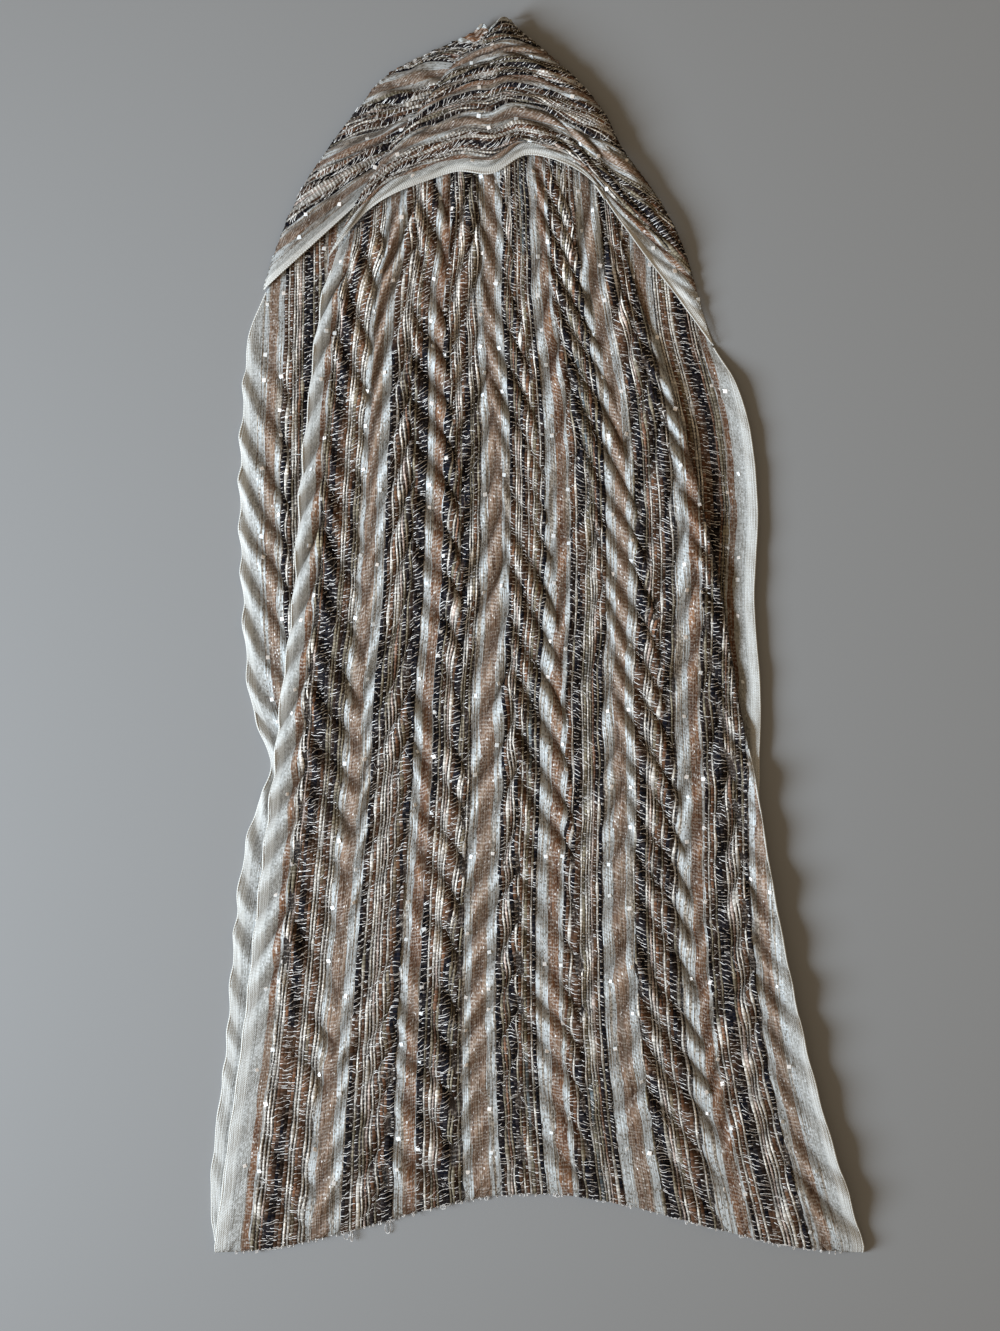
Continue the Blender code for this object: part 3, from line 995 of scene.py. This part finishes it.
def lay(stretch, share_of, length_of, across, along):
    """Points and upward normals of places in the cloth's measure, and which of them show."""
    across, along = paired(across, along)
    share = share_of(across, along)
    length = length_of(np.clip(share, 0, 1))
    last = length - END_CLEAR
    shows = (share > EDGE_CLEAR) & (share < 1 - EDGE_CLEAR) & (along > END_CLEAR) & (along < last)
    share, along = np.clip(share, EDGE_CLEAR, 1 - EDGE_CLEAR), np.clip(along, END_CLEAR, last)
    return stretch(share, along), upward(stretch, share, along), shows


# Sections of a strand, as angles: an arch that sits on the cloth, or all round
YARN_ARCH = np.radians((-10, 55, 125, 190))
FULL_ROUND = np.radians((0, 60, 120, 180, 240, 300, 360))


class Lines:
    """Collects yarns, threads and cords, then makes them one piece."""

    def __init__(self):
        self.points, self.faces, self.measure, self.dyes_and_painted_shade, self.count = [], [], [], [], 0

    def add_strand(self, middle, normal, width, height, measure, dye_and_painted_shade=None, angles=YARN_ARCH):
        """Strand along a line of points, with its section given by angles round that line."""
        side = unit(np.cross(np.gradient(middle, axis=0), normal))
        outward = side[:, None] * (np.cos(angles)[None, :, None] * width[:, None, None] / 2)
        raised = normal[:, None] * (np.sin(angles)[None, :, None] * height[:, None, None] / 2)
        ring = middle[:, None] + outward + raised
        sides = len(angles)
        self.faces.append(grid_faces(len(middle), sides, self.count))
        self.store(ring.reshape(-1, 3), np.repeat(measure, sides, 0),
                   None if dye_and_painted_shade is None else np.repeat(dye_and_painted_shade, sides, 0))

    def add_ribbons(self, middle, normal, width, measure, shows):
        """Many fine threads at once, each a row of points; only what shows of them is made."""
        way = unit(np.cross(normal * 0.4 + (0, 0, 0.6), np.gradient(middle, axis=1))) * width / 2
        threads, steps = middle.shape[:2]
        low = (np.arange(threads)[:, None] * steps + np.arange(steps - 1)[None, :]) * 2 + self.count
        faces = np.stack([low, low + 1, low + 3, low + 2], -1)
        self.faces.append(faces[shows[:, 1:] & shows[:, :-1]])
        both = np.stack([middle - way, middle + way], 2)
        self.store(both.reshape(-1, 3), np.repeat(measure.reshape(-1, 2), 2, 0), None)

    def store(self, points, measure, dyes_and_painted_shade):
        self.points.append(points)
        self.measure.append(measure)
        if dyes_and_painted_shade is not None:
            self.dyes_and_painted_shade.append(dyes_and_painted_shade)
        self.count += len(points)

    def piece(self, name, material):
        dyes_and_painted_shade = np.concatenate(self.dyes_and_painted_shade) if self.dyes_and_painted_shade else None
        return put(name, np.concatenate(self.points), np.concatenate(self.faces), material,
                   np.concatenate(self.measure), dyes_and_painted_shade)


def yarn_places(start, end, letters):
    return start + (end - start) / len(letters) * (np.arange(len(letters)) + 0.5)


def dye_along(letter, along, seed, patch):
    """Space dyeing: in patches, groups of neighbouring yarns turn darker or lighter."""
    own = np.array(YARN_DYES[letter])
    darker = np.array(YARN_DYES[yarn(letter, "darker")])
    lighter = np.array(YARN_DYES[yarn(letter, "lighter")])
    field = drift(along / patch, seed * 0.15, 51) + 0.25 * drift(along / patch * 2.7, seed * 0.7, 53)
    down = climb(field, 0.12, 0.2)[:, None] * 0.95
    up = climb(-field, 0.3, 0.2)[:, None] * 0.85
    uneven = (1 + 0.3 * drift(along / 14, seed * 1.3, 52))[:, None]
    return (own * (1 - down - up) + darker * down + lighter * up) * uneven


def add_yarns(lines, on, bands, low, high, step, patch, painted_light):
    """Slub yarns of some open bands along a stretch, thick and thin by turns."""
    along = np.arange(low, high, step)
    stretch, share_of, length_of = on
    for number, (start, end, letters) in bands:
        for order, (place, letter) in enumerate(zip(yarn_places(start, end, letters), letters)):
            seed = number * 17 + order
            across = place + 0.4 * drift(along / 26, seed * 0.61, 61)
            across = across + 0.2 * drift(along / 7, seed * 0.37, 64)
            middle, normal, shows = lay(*on, across, along)
            beside = lay(*on, across + 1.0, along)[0] - lay(*on, across - 1.0, along)[0]
            gathered = np.clip(np.linalg.norm(beside, axis=-1) / 2, 0.2, 1.05) ** 0.8
            slub = np.clip(drift(along / 11, seed * 1.9, 62) - 0.1, 0, 1) ** 1.5
            width = yarn(letter, "width") + 1.6 * (slub * yarn(letter, "slub"))
            width = (width + 0.3 * drift(along / 5, seed * 2.3, 63)) * gathered
            height = (0.3 if letter in PALE_YARNS else 0.14) * width + 0.15
            middle = middle + normal * (SHELL + 0.1 * height)[:, None]
            measure = np.stack([np.full(len(along), place), along], -1)
            share = np.clip(share_of(across, along), EDGE_CLEAR, 1 - EDGE_CLEAR)
            inside = np.clip(along, END_CLEAR, length_of(share) - END_CLEAR)
            # Painted light and shade on the yarns: darker in the troughs of the folds, and lighter or
            # darker along each stretch by its painted light, a factor on the dye that grows per
            # millimetre.
            depth = cavity(stretch, share, inside)
            painted_shading = (0.42 + 0.8 * depth) * (painted_light[0] + painted_light[1] * along)
            dye_and_painted_shade = dye_along(letter, along, seed, patch) * painted_shading[:, None]
            for run in np.split(np.arange(len(along)), np.flatnonzero(np.diff(shows)) + 1):
                if shows[run[0]] and len(run) > 3:
                    lines.add_strand(*(values[run] for values in (
                        middle, normal, width, height, measure, dye_and_painted_shade)))


def add_wefts(lines, on, bands, low, high):
    """Fine weft threads of the open bands, which show where they float over the dark yarns."""
    rng = np.random.default_rng(71)
    rows = np.arange(low, high, WEFT_PITCH)
    rows = rows + rng.uniform(-0.4, 0.4, len(rows)) * WEFT_PITCH
    for number, (start, end, letters) in bands:
        pitch = (end - start) / len(letters)
        stops = start + pitch * np.arange(-1, 2 * len(letters) + 2) / 2
        lifts = np.full(len(stops), 0.6)
        lifts[2:-1:2] = [0.2 if letter in PALE_YARNS else 1.05 for letter in letters]
        along, across = np.meshgrid(rows, stops, indexing="ij")
        middle_way = (across - start) / (end - start) - 0.5
        tilt = 3.0 * drift(along / 25, number * 3.1, 73) * middle_way
        along = along + tilt + 0.9 * drift(across / 3.2, along / 2.2, 72 + number)
        chance = np.array([yarn(letter, "weft_shows") for letter in letters])[None, :]
        floats = rng.uniform(0, 1, (len(rows), len(letters))) < chance
        over = np.zeros(across.shape, dtype=bool)
        for shift in (1, 2, 3):
            over[:, shift:shift + 2 * len(letters):2] |= floats
        middle, normal, shows = lay(*on, across, along)
        shows = shows & over
        middle = middle + normal * (SHELL + lifts)[None, :, None]
        lines.add_ribbons(middle, normal, WEFT_WIDTH, np.stack([across, along], -1), shows)


def add_stray_fibres(lines, on, bands, low, high, count):
    """Short loose hairs that stand off the slub yarns."""
    rng = np.random.default_rng(81)
    steps = np.linspace(-0.5, 0.5, 6)

    def each(smallest, largest):
        return rng.uniform(smallest, largest, (count, 1))

    for number, (start, end, letters) in bands:
        heading, reach_out = each(-1.1, 1.1), each(3.5, 8.0)
        curl = each(-3.0, 3.0) * steps ** 2
        across = each(start, end) + reach_out * steps * np.cos(heading) + curl
        along = each(low + 5, high - 5) + reach_out * steps * np.sin(heading) + curl
        middle, normal, shows = lay(*on, across, along)
        rise = 1.1 + 0.9 * each(0, 1) * (1 - (2 * steps[None, :]) ** 2)
        middle = middle + normal * (SHELL + rise)[..., None]
        lines.add_ribbons(middle, normal, FIBRE_WIDTH, np.stack([across, along], -1), shows)


def add_selvedge(lines, on, share, low, high):
    """Firm cord along one edge of a stretch."""
    stretch = on[0]
    along = np.arange(low, high, 2.0)
    middle = stretch(np.full(len(along), share), along)
    normal = upward(stretch, np.full(len(along), np.clip(share, 0.003, 0.997)), along)
    width = 1.2 + 0.2 * drift(along / 6, share, 91)
    measure = np.stack([np.full(len(along), share), along], -1)
    middle = middle + normal * (SHELL * 0.5)
    lines.add_strand(middle, normal, width, width * 0.9, measure, angles=FULL_ROUND)


# From a sequin's middle to its corners
SEQUIN_REACH = 1.75


def add_sequin(points, faces, spot, normal, spin, size):
    """Small square of foil in three levels, the top one smaller."""
    turn = Vector((0, 0, 1)).rotation_difference(Vector(normal))
    for lift, scale in ((0.75, 1.0), (1.0, 1.0), (1.08, 0.8)):
        for corner in range(4):
            angle = spin + np.pi / 4 + corner * np.pi / 2
            local = Vector((np.cos(angle), np.sin(angle), 0)) * SEQUIN_REACH * size * scale
            local.rotate(turn)
            points.append(np.array(spot) + np.array(local) + np.array(normal) * lift)
    first = len(points) - 12
    faces.append([first + 3, first + 2, first + 1, first])
    faces.append([first + 8, first + 9, first + 10, first + 11])
    for level in (first, first + 4):
        for corner in range(4):
            after = (corner + 1) % 4
            faces.append([level + corner, level + after, level + 4 + after, level + 4 + corner])


def sequins(label, on, low, high, seed):
    """Square micro sequins scattered in rows beside the copper stripes."""
    rng = np.random.default_rng(100 + seed)
    points, faces = [], []
    for _, copper_from, copper_to, _, _ in STRIPES:
        for place in (copper_from - 2.6, copper_to + 3.4):
            along = low + rng.uniform(5, 60)
            while along < high:
                spot, normal, shows = lay(*on, place, along)
                if shows:
                    tilted = Vector(normal) + Vector(rng.uniform(-0.22, 0.22, 3))
                    add_sequin(points, faces, spot, tilted.normalized(),
                               rng.uniform(-0.35, 0.35), rng.uniform(0.85, 1.1))
                along += rng.uniform(12, 75)
    measure = np.array(points)[:, :2]
    return put(label + "_sequins", points, faces, FOIL, measure, smooth=False)


BANDS = list(enumerate(zip(column(STRIPES, STRIPE_COLUMNS, "pale_to")[:-1],
                           column(STRIPES, STRIPE_COLUMNS, "pale_from")[1:], YARN_WORDS)))
FRONT_ON = (front_panel, front_share, front_length)
BACK_ON = (back_panel, back_share, back_length)
LEFT_ON = (left_turn, left_share, left_length)
RIGHT_ON = (right_turn, right_share, right_length)

# Each stretch: its shape, open bands, from and to along the cloth, step of its yarns, length of
# their dyed patches, the painted light on its yarns (a factor on their dyes) and how that grows per
# millimetre, how many stray fibres in a band, and the selvedges as share, from and to
STRETCHES = (
    ("front", FRONT_ON, BANDS, 0.6, 705, 3.0, 60, (0.97, 0.00023), 150,
     ((0, 0.5, 640), (1, 0.5, 330))),
    ("back", BACK_ON, (BANDS[0], BANDS[1], BANDS[6]), 4, 700, 3.0, 60, (0.97, 0.00023), 40,
     ((0, 0.5, 618), (1, 0.5, 582))),
    ("left_turn", LEFT_ON, BANDS[4:], 1, 130, 1.5, 24, (0.68, 0.0004), 40,
     ((0, 1.0, float(left_length(0))),)),
    ("right_turn", RIGHT_ON, BANDS[:4], 1, 330, 2.0, 30, (0.68, 0.0017), 60,
     ((0, 1.0, float(right_length(0))),)),
)

extras = {}
for seed, (label, on, bands, low, high, step, patch, painted_light, hairs, edges) in enumerate(STRETCHES):
    yarns, wefts, fibres, cords = Lines(), Lines(), Lines(), Lines()
    add_yarns(yarns, on, bands, low, high, step, patch, painted_light)
    add_wefts(wefts, on, bands, low, high)
    add_stray_fibres(fibres, on, bands, low, high, hairs)
    for share, start, end in edges:
        add_selvedge(cords, on, share, start, end)
    extras[label] = [
        yarns.piece(label + "_slub_yarns", YARN),
        wefts.piece(label + "_weft_threads", WEFT),
        fibres.piece(label + "_stray_fibres", WEFT),
        cords.piece(label + "_selvedge", SELVEDGE),
        sequins(label, on, 8, high - 15, seed),
    ]

# Loose thread loops that hang out of the bottom fold: where each leaves it, how far it reaches
# out, and how wide its loop is
LOOSE_THREADS = (
    (-126, 4, 5), (-121, 6, 2), (-99, 7, 5), (-62, 2, 4), (-34, 2, 3), (12, 2, 3), (96, 3, 2),
)
HEM_TUFTS = 150


def loose_threads():
    """The loops, and short tufts of cut yarn all along the fold."""
    rng = np.random.default_rng(96)
    tufts = [(place, rng.uniform(0.6, 2.2), rng.uniform(-1.5, 1.5))
             for place in np.linspace(-196, 196, HEM_TUFTS) + rng.uniform(-1.5, 1.5, HEM_TUFTS)]
    lines = Lines()
    for number, (across, reach, loop) in enumerate((*LOOSE_THREADS, *tufts)):
        turn = np.linspace(0, 1, 22 if number < len(LOOSE_THREADS) else 8)
        start = float(bottom_fold((across - BOTTOM_LEFT) / BOTTOM_WIDTH)) + 1.5
        out = -reach * np.sin(np.pi * turn) * (1 - 0.35 * np.cos(2 * np.pi * turn))
        side = loop * (np.sin(2 * np.pi * turn) * 0.5 + turn * 0.6)
        side = side + 0.8 * drift(turn * 3, number * 1.7, 95)
        height = 1.3 + 1.4 * np.sin(np.pi * turn) * (number % 3 == 0) + 1.5 * (number % 2)
        middle = np.stack([across + side, start + out, height], -1)
        normal = np.tile([0.0, 0.0, 1.0], (len(turn), 1))
        width = np.full(len(turn), 0.5)
        measure = np.stack([turn * 20 + number, turn * 20], -1)
        lines.add_strand(middle, normal, width, width, measure, angles=FULL_ROUND)
    return lines.piece("loose_threads", WEFT)


extras["front"].append(loose_threads())


def inner_bundle():
    """Gathered layers hidden inside the turns, as one rounded, creased roll."""
    middle, reach = (-22, 757, 5.9), (29, 17, 4.1)
    rings, sides = 25, 61
    turn, rise = np.meshgrid(
        np.linspace(0, 2 * np.pi, sides), np.linspace(-np.pi / 2, np.pi / 2, rings))
    level = np.cos(rise)
    fold = 1 + 0.05 * np.sin(9 * turn) * level
    points = np.stack([
        middle[0] + reach[0] * level * np.cos(turn) * fold,
        middle[1] + reach[1] * level * np.sin(turn),
        middle[2] + reach[2] * np.sin(rise)], -1)
    measure = np.stack([points[..., 1] - 600, points[..., 0]], -1).reshape(-1, 2)
    return put("inner_bundle", points.reshape(-1, 3), grid_faces(rings, sides), CLOTH, measure)


bundle = inner_bundle()

for piece, node, with_pieces in (
    (front, "front_panel", extras["front"]),
    (back, "back_panel", extras["back"]),
    (left, "left_turn", extras["left_turn"]),
    (right, "right_turn", extras["right_turn"]),
    (bundle, "inner_fold", []),
):
    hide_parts(node)
    for part in [piece, *with_pieces]:
        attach(part, "root")


# ---------------------------------------------------------------- table, light and camera

def table():
    bpy.ops.mesh.primitive_plane_add(size=6.0, location=(0, 0, 0))
    top = bpy.context.object
    top.name = "table"
    material = bpy.data.materials.new("plain table")
    material.use_nodes = True
    shader = material.node_tree.nodes["Principled BSDF"]
    shader.inputs["Base Color"].default_value = (0.285, 0.285, 0.285, 1.0)
    shader.inputs["Roughness"].default_value = 0.9
    top.data.materials.append(material)


def light(name, place, aim, size, spread, power, colour):
    lamp = bpy.data.lights.new(name, "AREA")
    lamp.shape = "RECTANGLE"
    lamp.size, lamp.size_y = size
    lamp.spread = np.radians(spread)
    lamp.energy = power
    lamp.color = colour
    holder = into_scene(name, lamp)
    holder.location = place
    holder.rotation_euler = (Vector(aim) - Vector(place)).to_track_quat("-Z", "Y").to_euler()


def camera():
    """Looks straight down; its frame is 865 mm high on the table."""
    frame_height = 0.865
    frame_middle = (-0.0244, -0.0185)
    above = 1.7
    lens = bpy.data.cameras.new("camera")
    lens.sensor_width = 36.0
    lens.lens = lens.sensor_width * above / frame_height
    eye = into_scene("camera", lens)
    eye.location = (*frame_middle, above)
    bpy.context.scene.camera = eye


table()
light("window", place=(-1.85, -0.52, 0.98), aim=(-0.3, 0, 0), size=(1.0, 1.0), spread=80,
      power=18.9, colour=(0.77, 0.885, 1.0))
camera()
world = bpy.data.worlds.new("studio")
world.use_nodes = True
world.node_tree.nodes["Background"].inputs["Color"].default_value = (1.0, 0.79, 0.55, 1.0)
world.node_tree.nodes["Background"].inputs["Strength"].default_value = 0.32
bpy.context.scene.world = world
bpy.context.scene.view_settings.view_transform = "Standard"
